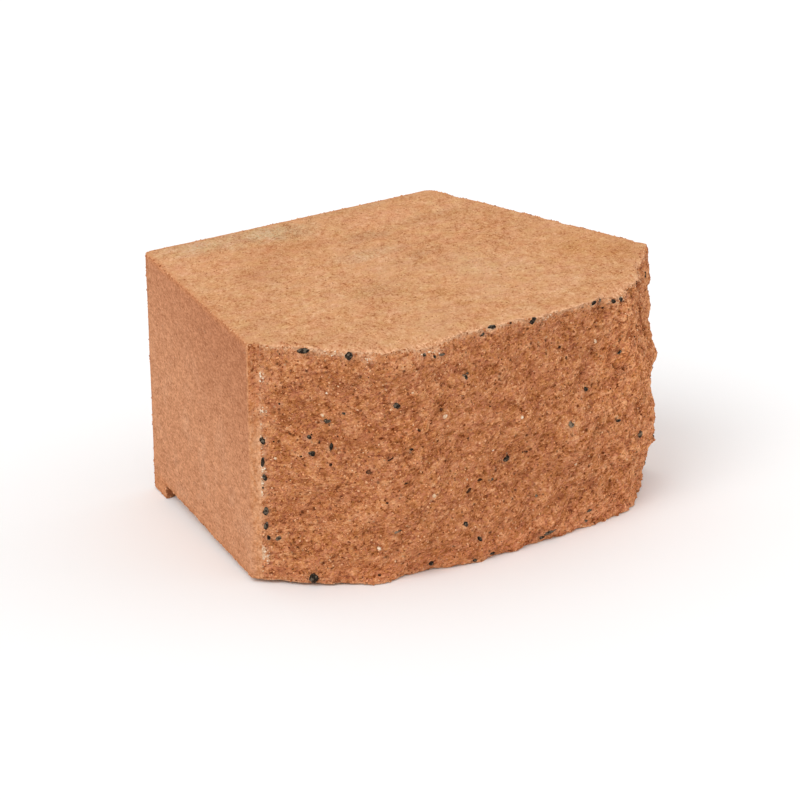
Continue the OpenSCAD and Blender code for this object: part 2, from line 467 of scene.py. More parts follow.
# a patch between four border lines that meet at the corners: straight blends both ways, less
# the blend of the corners
def coonsPatch(front, back, left, right, across, along):
    u = across[None, :, None]
    v = along[:, None, None]
    rows = front[None] * (1 - v) + back[None] * v
    columns = left[:, None] * (1 - u) + right[:, None] * u
    corners = (front[0] * (1 - u) + front[-1] * u) * (1 - v) + (back[0] * (1 - u) + back[-1] * u) * v
    return rows + columns - corners


# how far along a line each of its points lies, from 0 to 1
def lengthShare(points):
    run = runningSum(np.linalg.norm(np.diff(points, axis=0), axis=1))
    return run / run[-1]


# collects grids and the strips between fine and coarse lines, then welds them by place
class Skin:
    def __init__(self):
        self.points, self.faces, self.kinds, self.marks = [], [], [], []
        self.count = 0

    def addPoints(self, points, marks):
        flat = points.reshape(-1, 3)
        first = self.count
        self.points.append(flat)
        self.marks.append(np.broadcast_to(marks, (len(flat), 4)))
        self.count += len(flat)
        return first

    def addFaces(self, faces, kind, flip):
        self.faces.append(faces[:, ::-1] if flip else faces)
        self.kinds.append(np.full(len(faces), kind))

    def grid(self, points, kind, flip, marks=0.0):
        rows, columns = points.shape[:2]
        index = self.addPoints(points, marks) + np.arange(rows * columns).reshape(rows, columns)
        corners = [index[:-1, :-1], index[:-1, 1:], index[1:, 1:], index[1:, :-1]]
        self.addFaces(np.stack(corners, -1).reshape(-1, 4), kind, flip)

    # triangles between a fine line and a coarse line with a quarter of its steps
    def zipper(self, fine, coarse, kind, flip):
        f = self.addPoints(fine, 0.0) + np.arange(len(fine) - 1).reshape(-1, 4)
        c = self.addPoints(coarse, 0.0) + np.arange(len(coarse) - 1)
        fans = [(f[:, 0], f[:, 1], c), (f[:, 1], f[:, 2], c), (f[:, 2], c + 1, c),
                (f[:, 2], f[:, 3], c + 1), (f[:, 3], f[:, 3] + 1, c + 1)]
        self.addFaces(np.concatenate([np.stack(t, 1) for t in fans]), kind, flip)

    # points that round to the same place become one, with the largest of each of their marks
    def weld(self):
        points, marks = np.concatenate(self.points), np.concatenate(self.marks)
        # the offset keeps round lengths off the edges of the rounding
        keys = np.round(points / mould["weldStep"] + 0.137).astype(np.int64)
        first, inverse = np.unique(keys, axis=0, return_index=True, return_inverse=True)[1:]
        inverse = inverse.ravel()
        welded = np.zeros((len(first), 4))
        np.maximum.at(welded, inverse, marks)
        return points[first], welded, [inverse[f] for f in self.faces], self.kinds


kindSplit, kindTop, kindSide = 0, 1, 2


# the upper part of the groove's flank is torn out like the split: its texture's height, which
# dies out at the flank's borders, and how torn the flank is from 0 to 1
def tornFlank(groove, across, rowShare):
    flat = groove.reshape(-1, 3)
    wander = fractalNoise(flat, 16 * mm, 3, 61) * 18 * mm
    start, reach = mould["tornFrom"]
    amount = np.clip((flat[:, 2] + wander - start) / reach, 0, 1).reshape(groove.shape[:2])
    toTop = np.clip((1 - rowShare) * 50, 0, 1)[:, None]
    border = np.clip(np.minimum(across, 1 - across) * 4, 0, 1)[None]
    height = brokenGrain(flat).reshape(groove.shape[:2]) * 1.2 - 0.3 * mm
    return height * amount * border * toTop, amount


# the four marks of each point: the relief, which the materials paint as highlight and shade, how near an
# arris, how torn, and how near a chip
def pointMarks(*marks):
    return np.stack(np.broadcast_arrays(*marks), -1).reshape(-1, 4)


# the whole skin: the split, the cast top and bed, the two sides, the back and the lip, welded
def blockSkin():
    skin = Skin()
    face, relief, arris, normal = splitFace()
    step = split["coarsening"]
    shoulder, toLip, toBack = sidePath()
    fine = mould["grooveSteps"] + 1
    grooveShare = np.linspace(0, 1, fine)
    columnShare = np.linspace(0, 1, face.shape[1])
    skin.grid(face, kindSplit, False, pointMarks(relief, arris, 0, chipHalo(face)))

    # a flat cast face, top or bed: plan positions from one patch, then the worn arris's height
    def castFace(border, plan, z, flip):
        def sideLine(start, way):
            return np.concatenate([start + (shoulder * way - start) * grooveShare[:, None], plan * way])

        leftPlan, rightPlan = sideLine(border[0, :2], (-1, 1)), sideLine(border[-1, :2], (1, 1))
        share = lengthShare(rightPlan)
        backLine = leftPlan[-1] + (rightPlan[-1] - leftPlan[-1]) * columnShare[:, None]
        flat = coonsPatch(border[:, :2], backLine, leftPlan, rightPlan, columnShare, share)
        drop = border[None, :, 2] - z
        away = np.linalg.norm(flat - border[None, :, :2], axis=-1)
        height = z + drop * np.exp(-(away / (1.3 * mm + 1.2 * np.abs(drop))) ** 1.3)
        height[fine - 1:] = z
        worn = np.exp(-away / (1.6 * mm + 1.1 * np.abs(drop)))
        whole = np.concatenate([flat, height[..., None]], -1)
        skin.grid(whole[:fine], kindTop, flip, pointMarks(0, worn[:fine], 0, 0))
        skin.zipper(whole[fine - 1], whole[fine, ::step], kindTop, flip)
        skin.grid(whole[fine:, ::step], kindTop, flip)
        return whole

    topGrid = castFace(face[-1], np.concatenate([toLip, toBack]), courseHeight, False)
    bedGrid = castFace(face[0], toLip, 0.0, True)

    # a side: the groove's rear flank in fine columns, then the tapered side in coarse ones
    def flank(column, flip):
        edge, topLine, bedLine = face[:, column], topGrid[:, column], bedGrid[:, column]
        rowShare = (edge[:, 2] - edge[0, 2]) / (edge[-1, 2] - edge[0, 2])
        outer = bedLine[fine - 1] + (topLine[fine - 1] - bedLine[fine - 1]) * rowShare[:, None]
        groove = coonsPatch(bedLine[:fine], topLine[:fine], edge, outer, grooveShare, rowShare)
        torn, amount = tornFlank(groove, grooveShare, rowShare)
        away = np.linalg.norm(groove - edge[:, None], axis=-1)
        # the torn height stands as the relief, which paints highlight and shade on the flank as on the split
        marks = pointMarks(torn / mm * 0.8, 0.6 * np.exp(-away / (1.6 * mm)), amount, chipHalo(groove))
        outwards = flankOut * (1 if flip else -1, -1, 0)
        skin.grid(groove + outwards * torn[..., None], kindSide, flip, marks)
        upper = topLine[fine:][None]
        lower = upper * (1, 1, 0)
        side = lower + (upper - lower) * rowShare[::step, None, None]
        skin.zipper(groove[:, -1], side[:, 0], kindSide, not flip)
        skin.grid(side, kindSide, flip)
        return side

    leftSide, rightSide = flank(0, True), flank(-1, False)

    # the back, and the lip below it: ends, front, back, underside
    share = columnShare[::step]
    foot = leftSide[0, -1] + (rightSide[0, -1] - leftSide[0, -1]) * share[:, None]
    skin.grid(coonsPatch(foot, topGrid[-1, ::step], leftSide[:, -1], rightSide[:, -1], share,
                         leftSide[:, -1, 2] / courseHeight), kindSide, True)
    lipPlan = np.concatenate([toLip[-1:], toBack])
    levels = np.linspace(-block["lipHeight"], 0, mould["lipRows"] + 1)
    right = np.stack([np.insert(lipPlan, 2, z, axis=1) for z in levels])
    left = right * (-1, 1, 1)
    front, back = (left[:, k, None] + (right[:, k, None] - left[:, k, None]) * share[:, None]
                   for k in (0, -1))
    under = coonsPatch(front[0], back[0], left[0], right[0], share, lengthShare(lipPlan))
    for grid, kind, flip in ((right, kindSide, False), (left, kindSide, True), (front, kindSide, False),
                             (back, kindSide, True), (under, kindTop, True)):
        skin.grid(grid, kind, flip)
    return skin.weld(), face, normal


# the left end of the split as it broke: two bells round its upright arrises move the stone, the
# shoulder's forward along the side towards the top, the groove's back towards the bed
leftEnd = {
    "shoulderPull": 6 * mm,
    "groovePull": (-1.1 * mm, 1.5 * mm),
    "reach": 5 * mm,
}


def pulled(points):
    share = np.clip(points[..., 2:] / courseHeight, 0, 1)
    shoulder = np.array([-halfWidth, shoulderBack])
    forward = shoulder - (-block["backWidth"] / 2, blockDepth)
    forward *= leftEnd["shoulderPull"] / np.linalg.norm(forward)
    moved = points.copy()
    for centre, pull, amount in ((shoulder, forward, share),
                                 ((-grooveX, grooveY), leftEnd["groovePull"], 1 - share)):
        away = np.linalg.norm(points[..., :2] - centre, axis=-1, keepdims=True)
        moved[..., :2] += amount * np.exp(-(away / leftEnd["reach"]) ** 2) * pull
    return moved


# the mean direction of the faces round each point, and how far they disagree, which is 0 on a
# flat and rises at an arris
def pointNormals(points, faces):
    total = np.zeros_like(points)
    count = np.zeros(len(points))
    for group in faces:
        a, b, c = points[group[:, 0]], points[group[:, 1]], points[group[:, 2]]
        d = points[group[:, -1]]
        facing = np.cross(c - a, d - b) if group.shape[1] == 4 else np.cross(b - a, c - a)
        facing /= np.maximum(np.linalg.norm(facing, axis=1), 1e-15)[:, None]
        for corner in range(group.shape[1]):
            np.add.at(total, group[:, corner], facing)
            np.add.at(count, group[:, corner], 1)
    length = np.linalg.norm(total, axis=1)
    return total / np.maximum(length, 1e-9)[:, None], 1 - length / count


# an object from points, arrays of faces with three or four corners, and the material of each face
def newObject(name, points, faces, kinds, materials):
    mesh = bpy.data.meshes.new(name)
    sizes = np.concatenate([np.full(len(f), f.shape[1]) for f in faces])
    corners = np.concatenate([f.ravel() for f in faces])
    mesh.vertices.add(len(points))
    mesh.loops.add(len(corners))
    mesh.polygons.add(len(sizes))
    mesh.vertices.foreach_set("co", points.ravel())
    for part, key, values in ((mesh.loops, "vertex_index", corners),
                              (mesh.polygons, "loop_start", runningSum(sizes)[:-1]),
                              (mesh.polygons, "loop_total", sizes),
                              (mesh.polygons, "material_index", np.concatenate(kinds))):
        part.foreach_set(key, values.astype(np.int32))
    mesh.update(calc_edges=True)
    mesh.validate()
    for material in materials:
        mesh.materials.append(material)
    made = bpy.data.objects.new(name, mesh)
    bpy.context.collection.objects.link(made)
    return made


# a number for each point of an object, for its material to read
def addAttribute(made, name, values):
    made.data.attributes.new(name, "FLOAT", "POINT").data.foreach_set("value", values.astype(np.float32))


# materials

concrete = {
    # tones of broken stone, from the pits to the grains that catch the light
    "brokenTones": [
        (0.22, (0.115, 0.024, 0.006)), (0.36, (0.335, 0.095, 0.029)), (0.50, (0.565, 0.206, 0.082)),
        (0.64, (0.715, 0.292, 0.128)), (0.80, (0.92, 0.465, 0.236)),
    ],
    # tones of the sand grains that stand out of the split, a few black and a few pale
    "sandTones": [
        (0.0, (0.014, 0.010, 0.007)), (0.005, (0.014, 0.010, 0.007)), (0.008, (0.15, 0.037, 0.011)),
        (0.30, (0.42, 0.128, 0.041)), (0.62, (0.66, 0.250, 0.100)), (0.97, (0.88, 0.43, 0.200)),
        (0.985, (0.86, 0.55, 0.33)),
    ],
    "topSandTones": [
        (0.0, (0.33, 0.115, 0.042)), (0.18, (0.50, 0.215, 0.094)), (0.6, (0.66, 0.335, 0.163)),
        (1.0, (0.80, 0.465, 0.255)),
    ],
    # tones of the grains that stand out of the moulded arrises
    "arrisTones": [
        (0.0, (0.28, 0.085, 0.030)), (0.2, (0.48, 0.185, 0.080)), (0.7, (0.66, 0.295, 0.140)),
        (1.0, (0.82, 0.46, 0.255)),
    ],
    "brokenOchre": (0.64, 0.262, 0.078),
    "brokenPink": (0.60, 0.216, 0.126),
    "brokenOlive": (0.56, 0.38, 0.23),
    "brokenDeep": (0.27, 0.072, 0.020),
    "crumbDark": (0.50, 0.205, 0.088),
    "crumbPale": (0.90, 0.53, 0.31),
    "topTones": [
        (0.18, (0.37, 0.135, 0.050)), (0.34, (0.545, 0.243, 0.107)), (0.50, (0.63, 0.316, 0.152)),
        (0.66, (0.70, 0.378, 0.192)), (0.84, (0.81, 0.48, 0.27)),
    ],
    # the top's colour times one or the other, at an even brightness
    "topHues": [((0.978, 1.016, 1), (1.022, 0.984, 1)), ((1, 1, 1.06), (1, 1, 0.94))],
    # tones in their places on the top: across, back, their reaches, share, what the colour is times there
    "topPatches": [
        (-58, 236, 52, 17, 1.0, (0.95, 1.10, 1.22)), (-20, 224, 24, 15, 1.0, (0.96, 1.12, 1.22)),
        (40, 246, 60, 7, 0.8, (0.96, 1.05, 1.10)), (-110, 203, 26, 24, 0.8, (1.04, 1.00, 1.03)),
        (-80, 166, 24, 16, 0.9, (0.93, 0.88, 0.85)), (-28, 196, 34, 12, 0.9, (0.94, 0.90, 0.86)),
        (20, 188, 20, 8, 0.9, (0.86, 0.87, 0.90)), (0, 157, 26, 10, 0.9, (0.97, 1.06, 1.18)),
        (26, 138, 12, 7, 0.9, (0.88, 0.87, 0.88)), (50, 214, 26, 18, 0.8, (1.04, 1.00, 1.05)),
        (76, 195, 34, 10, 0.9, (0.90, 0.89, 0.88)), (122, 80, 32, 28, 1.0, (0.93, 0.88, 0.78)),
        (118, 165, 14, 40, 0.7, (0.95, 0.93, 0.90)), (45, 92, 24, 32, 0.8, (1.02, 1.09, 1.13)),
        (50, 42, 45, 14, 0.8, (1.03, 1.06, 1.10)), (-10, 75, 30, 24, 0.7, (1.02, 1.05, 1.04)),
        (-38, 96, 18, 14, 0.8, (0.94, 0.99, 1.00)), (-95, 75, 38, 16, 0.7, (1.02, 1.00, 0.98)),
    ],
    # and on the split: across, up, and so on; the two narrow dark strips at 108 and 117 across are painted
    # shade in the creases there, the broad lighter patch at 110 across is painted light on the right, and the
    # last, lighter along the foot, is painted light from the floor
    "splitPatches": [
        (-122, 132, 12, 11, 0.8, (0.82, 0.76, 0.72)), (-109, 94, 12, 9, 0.8, (0.82, 0.76, 0.72)),
        (-75, 93, 13, 12, 0.8, (1.12, 1.10, 1.05)), (80, 114, 20, 20, 0.9, (1.16, 1.14, 1.10)),
        (56, 123, 13, 9, 0.7, (0.85, 0.80, 0.78)), (108, 138, 3.5, 15, 0.9, (0.66, 0.56, 0.50)),
        (117, 128, 2.5, 20, 0.9, (0.66, 0.56, 0.50)), (110, 60, 50, 60, 1.0, (1.10, 1.09, 1.08)),
        (0, 0, 150, 18, 1.0, (1.14, 1.12, 1.15)),
    ],
    "topGrey": (0.62, 0.352, 0.192),
    "topWarm": (0.60, 0.270, 0.122),
    "sideBase": (0.590, 0.270, 0.139),
    "sidePaintedShade": (0.475, 0.192, 0.094),
    "sidePaleLow": (0.66, 0.348, 0.205),
    "sideRim": (0.565, 0.232, 0.102),
    # painted shade in the small pits of the moulded faces
    "sideSpot": (0.22, 0.068, 0.025),
    # the side's colour times the first at its darkest grain, and times the second at its lightest
    "sideShades": ((0.76, 0.69, 0.64), (1.24, 1.31, 1.36)),
    "groove": (0.575, 0.242, 0.104),
    "grooveStreak": (0.685, 0.34, 0.178),
    # painted shade in the split's pits
    "pit": (0.115, 0.030, 0.010),
    # painted shade in the split's deepest hollows
    "crease": (0.19, 0.052, 0.017),
    "rim": (0.63, 0.272, 0.122),
    "rimSpot": (0.34, 0.115, 0.045),
    "dust": (0.86, 0.50, 0.30),
    "roughness": 0.95,
    "specular": 0.03,
}
flakeTurn = (0, -16, 0)    # the broken grains lie turned by these degrees about each axis


# a material's nodes; sizes and places of patterns are in mm
class Nodes:
    def __init__(self, name):
        self.material = bpy.data.materials.new(name)
        self.material.use_nodes = True
        self.tree = self.material.node_tree
        self.shader = self.tree.nodes["Principled BSDF"]
        # the block's own level coordinates
        self.place = self.add("ShaderNodeTexCoord").outputs["Object"]
        self.place = self.mapped("POINT", Rotation=(-lean, 0, 0), Location=seat.inverted().translation)

    # a new node, with values or other nodes' results at its sockets
    def add(self, kind, sockets=(), **settings):
        made = self.tree.nodes.new(kind)
        for key, value in settings.items():
            setattr(made, key, value)
        for key, value in dict(sockets).items():
            if isinstance(value, bpy.types.NodeSocket):
                self.tree.links.new(value, made.inputs[key])
            else:
                made.inputs[key].default_value = value
        return made

    def mapped(self, kind, **sockets):
        return self.add("ShaderNodeMapping", {"Vector": self.place, **sockets}, vector_type=kind).outputs[0]

    # places for a pattern drawn out by the given shares and turned by some degrees about each axis
    def stretched(self, sizes, turns=(0, 0, 0)):
        return self.mapped("TEXTURE", Rotation=[math.radians(t) for t in turns], Scale=sizes)

    # noise whose features are about the given size across, from 0 to 1
    def noise(self, size, detail=3, roughness=0.6, place=None):
        return self.add("ShaderNodeTexNoise", {"Vector": place or self.place, "Scale": 1 / (size * mm),
                                               "Detail": detail, "Roughness": roughness}).outputs["Fac"]

    # such noise carried from a range to 0..1
    def mottle(self, low, high, *noise):
        return self.ramp(self.noise(*noise), low, high)

    # the distance to the nearest of scattered points, in cells, and that point's random number
    def cells(self, size, place=None):
        made = self.add("ShaderNodeTexVoronoi", {"Vector": place or self.place, "Scale": 1 / (size * mm)})
        parted = self.add("ShaderNodeSeparateColor", {0: made.outputs["Color"]})
        return made.outputs["Distance"], parted.outputs[0]

    # soft round spots about some of the scattered points
    def spots(self, size, radius, share):
        distance, chance = self.cells(size)
        near = self.ramp(distance, radius / size, 0.35 * radius / size)
        return self.times(near, self.ramp(chance, 1 - share, 1 - share + 0.02))

    # a colour made lighter, darker or another hue at each of a row of soft patches, whose borders a
    # noise breaks up; along the axis left out they reach very far from a level
    def patched(self, colour, row, border, leftOut, level):
        for *places, share, tint in row:
            centre, reach = places[:2], places[2:]
            centre.insert(leftOut, level)
            reach.insert(leftOut, 1000)
            gap = self.mapped("TEXTURE", Location=[c * mm for c in centre], Scale=[r * mm for r in reach])
            length = self.add("ShaderNodeVectorMath", {0: gap}, operation="LENGTH").outputs["Value"]
            here = self.ramp(self.sum((1.0, length), (1.6, border), (-0.8, 1.0)), 1.3, 0.5)
            colour = self.mix(self.times(here, share), colour, tint, "MULTIPLY")
        return colour

    # a colour with others laid over it, each with its share, its strength and its name
    def laid(self, colour, *layers):
        for share, strength, name in layers:
            colour = self.mix(self.times(share, strength), colour, concrete[name])
        return colour

    def axis(self, name):
        return self.add("ShaderNodeSeparateXYZ", {0: self.place}).outputs[name]

    # a sum of values, each times its weight
    def sum(self, *parts):
        total = 0.0
        for weight, value in parts:
            total = self.math("MULTIPLY_ADD", value, weight, total)
        return total

    # a colour from a row of stops, each a place from 0 to 1 and a colour
    def stops(self, value, row):
        made = self.add("ShaderNodeValToRGB", {0: value})
        elements = made.color_ramp.elements
        elements[0].position, elements[1].position = row[0][0], row[-1][0]
        elements[0].color, elements[1].color = (*row[0][1], 1), (*row[-1][1], 1)
        for position, colour in row[1:-1]:
            elements.new(position).color = (*colour, 1)
        return made.outputs["Color"]

    def math(self, operation, *values):
        return self.add("ShaderNodeMath", dict(enumerate(values)), operation=operation).outputs[0]

    def times(self, a, b):
        return self.math("MULTIPLY", a, b)

    # the largest of some values
    def most(self, first, *others):
        for other in others:
            first = self.math("MAXIMUM", first, other)
        return first

    # a value carried from one range to 0..1, held at the ends
    def ramp(self, value, low, high):
        ends = {"Value": value, "From Min": low, "From Max": high}
        return self.add("ShaderNodeMapRange", ends).outputs["Result"]

    def mix(self, share, a, b, blend="MIX"):
        a, b = ((*c, 1) if isinstance(c, tuple) else c for c in (a, b))
        return self.add("ShaderNodeMix", {"Factor": share, "A": a, "B": b},
                        data_type="RGBA", blend_type=blend).outputs["Result"]

    def attribute(self, name):
        return self.add("ShaderNodeAttribute", attribute_name=name).outputs["Fac"]

    # the bump's height and how many mm it stands for, and the shader's own values
    def finish(self, colour, height, distance,
               roughness=concrete["roughness"], specular=concrete["specular"]):
        bump = self.add("ShaderNodeBump", {"Strength": 1.0, "Distance": distance * mm, "Height": height})
        self.tree.links.new(colour, self.shader.inputs["Base Color"])
        self.tree.links.new(bump.outputs["Normal"], self.shader.inputs["Normal"])
        self.shader.inputs["Roughness"].default_value = roughness
        self.shader.inputs["Specular IOR Level"].default_value = specular
        return self.material


# ragged change to dark and pale crumbs along an arris: where its mark and a noise add up to more
# than a limit
def crumbled(n, colour, low, high):
    edge = n.sum((1.0, n.attribute("arris")), (1.3, n.noise(1.8, 3, 0.65)), (-0.65, 1.0))
    crumbs = n.mix(n.cells(1.2)[1], concrete["crumbDark"], concrete["crumbPale"])
    return n.mix(n.ramp(edge, low, high), colour, crumbs)


# pale crumbs along the broken arrises, in patches
def dusted(n, colour, amount):
    share = n.times(n.times(n.attribute("arris"), n.mottle(0.44, 0.62, 11)), n.mottle(0.40, 0.58, 1.7, 2))
    return n.laid(colour, (share, amount, "dust"))


# broken stone: a tone from sand grains, clods, broad level bands and the shape's own relief, which paints
# highlight on the high points and shade in the hollows, then patches of ochre and pink, some patches of
# painted light and shade, a few olive grains, painted shade in the deepest creases and soft brown pits of two
# sizes whose dark is painted shade
def brokenColour(n):
    flakes = n.stretched((1.45, 1.45, 0.8), flakeTurn)
    # the relief paints the split lighter on its high points and darker in its hollows: painted highlight and
    # painted shade
    relief = n.attribute("relief")
    tone = n.sum((0.22, n.mottle(0.34, 0.66, 1.4, 2, 0.6, flakes)), (0.20, n.cells(1.0, flakes)[1]),
                 (0.15, n.cells(1.8, flakes)[1]), (0.17, n.mottle(0.34, 0.66, 4.2, 3, 0.55, flakes)),
                 (0.11, n.mottle(0.35, 0.65, 15, 3, 0.55, n.stretched((2, 2, 1)))),
                 (0.24, n.ramp(relief, -0.5, 0.5)), (-0.035, 1.0))
    # the tones lie further from the middle one towards the right
    contrast = n.sum((0.25, n.ramp(n.axis("X"), 10 * mm, 80 * mm)), (1.0, 1.0))
    tone = n.math("ADD", n.times(n.math("SUBTRACT", tone, 0.5), contrast), 0.5)
    hue = n.cells(1.9)[1]
    ochre = n.most(n.mottle(0.50, 0.72, 11, 2, 0.5, n.stretched((1, 1, 0.77))), n.ramp(hue, 0.72, 0.80))
    pink = n.most(n.mottle(0.52, 0.74, 9, 2, 0.5), n.ramp(hue, 0.24, 0.16))
    colour = n.laid(n.stops(tone, concrete["brokenTones"]),
                    (ochre, 0.38, "brokenOchre"), (pink, 0.38, "brokenPink"))
    # patches of tone; some of them are painted light and painted shade
    colour = n.patched(colour, concrete["splitPatches"], n.noise(9), 1, 0)
    hollow = n.mottle(0.56, 0.68, 7, 3, 0.6, n.stretched((1.3, 1.3, 0.77), flakeTurn))
    # olive spots, a darker random mottle, and painted shade where the relief is deepest
    colour = n.laid(colour, (n.spots(5.5, 1.0, 0.25), 0.6, "brokenOlive"), (hollow, 0.6, "brokenDeep"),
                    (n.ramp(relief, -0.45, -1.3), 0.8, "crease"))
    # pits that the bump sinks, darkened: painted shade in them
    pits = n.most(n.times(n.spots(3.1, 0.95, 0.5), 0.66), n.times(n.spots(5.4, 1.4, 0.3), 0.9))
    return n.mix(pits, colour, concrete["pit"]), pits


# pale cement round the chips, where a noise leaves it
def haloed(n, colour):
    return n.laid(colour, (n.times(n.attribute("halo"), n.mottle(0.38, 0.56, 1.8, 2)), 0.75, "dust"))


# the split: broken stone, cement round its chips, crumbs and dust along its arrises, a rough bump
def splitStone():
    n = Nodes("splitStone")
    colour, pits = brokenColour(n)
    colour = dusted(n, crumbled(n, haloed(n, colour), 0.50, 0.82), 0.9)
    flakes = n.stretched((1.4, 1.4, 0.8), flakeTurn)
    rough = n.sum((0.8, n.noise(0.9, 3, 0.7)), (1.3, n.noise(2.2, 3, 0.6, flakes)),
                  (-0.9, n.cells(1.2)[0]), (-0.6, pits))
    return n.finish(colour, rough, 1.1)


# a redder, spotted rim 3 to 4 mm wide along the moulded arrises of the top: the half width falls
# evenly from the shoulder to the back, so the gap to the side is that half width less the distance
# from the middle
def rimmed(n, colour):
    taper = (block["shoulderWidth"] - block["backWidth"]) / 2 / (blockDepth - shoulderBack)
    x, y = n.math("ABSOLUTE", n.axis("X")), n.axis("Y")
    toSide = n.sum((-taper, y), (-1.0, x), (halfWidth + taper * shoulderBack, 1.0))
    toBack = n.sum((-1.0, y), (blockDepth, 1.0))
    near = n.sum((1.0, n.math("MINIMUM", toSide, toBack)), (7 * mm, n.noise(5, 3, 0.65)))
    rim = n.ramp(near, 7.5 * mm, 4.5 * mm)
    spots = n.times(n.spots(2.6, 0.9, 0.5), 0.8)
    return n.laid(colour, (rim, 0.6, "rim"), (rim, spots, "rimSpot"))


# the top and the bed, pressed flat: sandy grain, broad mottling, grey bloom and orange patches,
# small changes of hue, and crumbs where the arris of the split slopes down
def topStone():
    n = Nodes("topStone")
    drawn = n.stretched((1, 1.65, 1), (0, 0, -35))
    tone = n.sum((0.24, n.mottle(0.32, 0.68, 1.1, 2, 0.6, drawn)), (0.27, n.cells(1.2, drawn)[1]),
                 (0.20, n.mottle(0.34, 0.66, 2.4, 3, 0.6, drawn)),
                 (0.20, n.mottle(0.35, 0.65, 7, 3, 0.6, drawn)),
                 (0.09, n.mottle(0.38, 0.62, 42, 3, 0.55, drawn)))
    colour = n.laid(n.stops(tone, concrete["topTones"]),
                    (n.mottle(0.50, 0.66, 36, 4, 0.6, drawn), 0.28, "topGrey"),
                    (n.mottle(0.52, 0.68, 30, 4, 0.6, drawn), 0.28, "topWarm"))
    for place, hues in zip((drawn, n.stretched((1.65, 1, 1))), concrete["topHues"]):
        colour = n.mix(1.0, colour, n.mix(n.mottle(0.36, 0.64, 9, 3, 0.65, place), *hues), "MULTIPLY")
    colour = n.patched(colour, concrete["topPatches"], n.noise(16, 4, 0.65), 2, courseHeight / mm)
    # small pits that the bump sinks, darkened: painted shade in them
    pits = n.spots(7, 0.8, 0.3)
    colour = n.laid(rimmed(n, colour), (pits, 0.6, "sideSpot"))
    colour = dusted(n, crumbled(n, colour, 0.26, 0.72), 0.8)
    height = n.sum((1.0, n.noise(0.9, 3, 0.7, drawn)), (0.8, n.noise(2.6, 2, 0.6, drawn)), (-0.5, pits))
    return n.finish(colour, height, 0.28)


# drawn up against the mould: fine sandy grain, small open pits with painted shade in them, a colour darker
# towards the top front and lighter towards the bed as painted shade and painted light from the floor, pale
# mottled patches lower down and an orange rim; the groove is torn in its upper part, and the lip's front face
# under the bed has painted shade
def sideStone():
    n = Nodes("sideStone")
    depth, height = n.axis("Y"), n.axis("Z")
    wander = n.sum((4 * mm, n.noise(9)))
    drawn = n.stretched((1, 2.0, 1))
    # painted light and shade: the side darker towards the top and the front, lighter towards the bed where
    # the floor lights it
    deep = n.sum((0.75, n.ramp(height, 0.0, courseHeight)), (0.30, n.ramp(depth, blockDepth, shoulderBack)),
                 (0.25, n.noise(40, 3, 0.5)))
    colour = n.mix(n.ramp(deep, 0.62, 1.14), concrete["sideBase"], concrete["sidePaintedShade"])
    paleLow = n.times(n.mottle(0.50, 0.70, 20, 4), n.ramp(height, 130 * mm, 60 * mm))
    rim = n.most(n.ramp(n.math("ADD", height, wander), courseHeight - 2 * mm, courseHeight + 1 * mm),
                 n.ramp(n.math("SUBTRACT", height, wander), 3 * mm, -2 * mm),
                 n.ramp(n.math("ADD", depth, wander), blockDepth - 4 * mm, blockDepth + 2 * mm))
    colour = n.laid(colour, (paleLow, 0.5, "sidePaleLow"), (rim, 0.7, "sideRim"))
    streak = n.mottle(0.42, 0.60, 1.5, 3, 0.65, n.stretched((1, 1, 2.8)))
    smoothShare = n.ramp(n.math("ADD", depth, wander), shoulderBack + 1 * mm, shoulderBack - 2 * mm)
    colour = n.mix(smoothShare, colour, n.mix(streak, concrete["groove"], concrete["grooveStreak"]))
    sand = n.mottle(0.34, 0.66, 1.1, 3, 0.65, drawn)
    grain = n.sum((0.40, sand), (0.36, n.cells(1.2, drawn)[1]),
                  (0.24, n.mottle(0.34, 0.66, 4.5, 3, 0.6, drawn)))
    colour = n.mix(1.0, colour, n.mix(n.ramp(grain, 0.2, 0.8), *concrete["sideShades"]), "MULTIPLY")
    # small pits that the bump sinks, darkened: painted shade in them
    pits = n.spots(4.2, 0.8, 0.5)
    broken = n.mix(0.12, brokenColour(n)[0], concrete["brokenDeep"])
    torn = n.times(n.attribute("groove"), n.mottle(0.3, 0.5, 4))
    colour = haloed(n, n.mix(torn, n.laid(colour, (pits, 0.7, "sideSpot")), broken))
    # painted shade: the front face of the lip, under the bed, darkened towards the broken stone's deep tone
    rebateShade = n.times(n.ramp(height, 0, -3 * mm), n.ramp(depth, lipFront + 2 * mm, lipFront + 0.5 * mm))
    colour = dusted(n, n.laid(colour, (rebateShade, 0.5, "brokenDeep")), 0.9)
    return n.finish(colour, n.sum((1.0, sand), (-1.0, pits)), 0.3)


# stone chips: a dark tone with lighter flecks, partly the stone's own mottle and partly painted glints on its
# facets, a little shinier than the concrete
def chipStone(name, dark, light):
    n = Nodes(name)
    fleckAndGlint = n.most(n.mottle(0.48, 0.8, 1.2), n.ramp(n.cells(1.5)[1], 0.72, 0.76))
    return n.finish(n.mix(fleckAndGlint, dark, light), n.noise(0.7, 2, 0.5), 0.08, 0.8, 0.1)


# loose sand: each grain has its own tone
def sandStone(name, tones):
    n = Nodes(name)
    return n.finish(n.stops(n.attribute("tone"), concrete[tones]), n.noise(0.6, 2, 0.6), 0.15)


# the block

(points, marks, faces, kinds), face, faceNormal = blockSkin()
points = pulled(points)
print("skin welded:", len(points), "points")
normals, crease = pointNormals(points, faces)
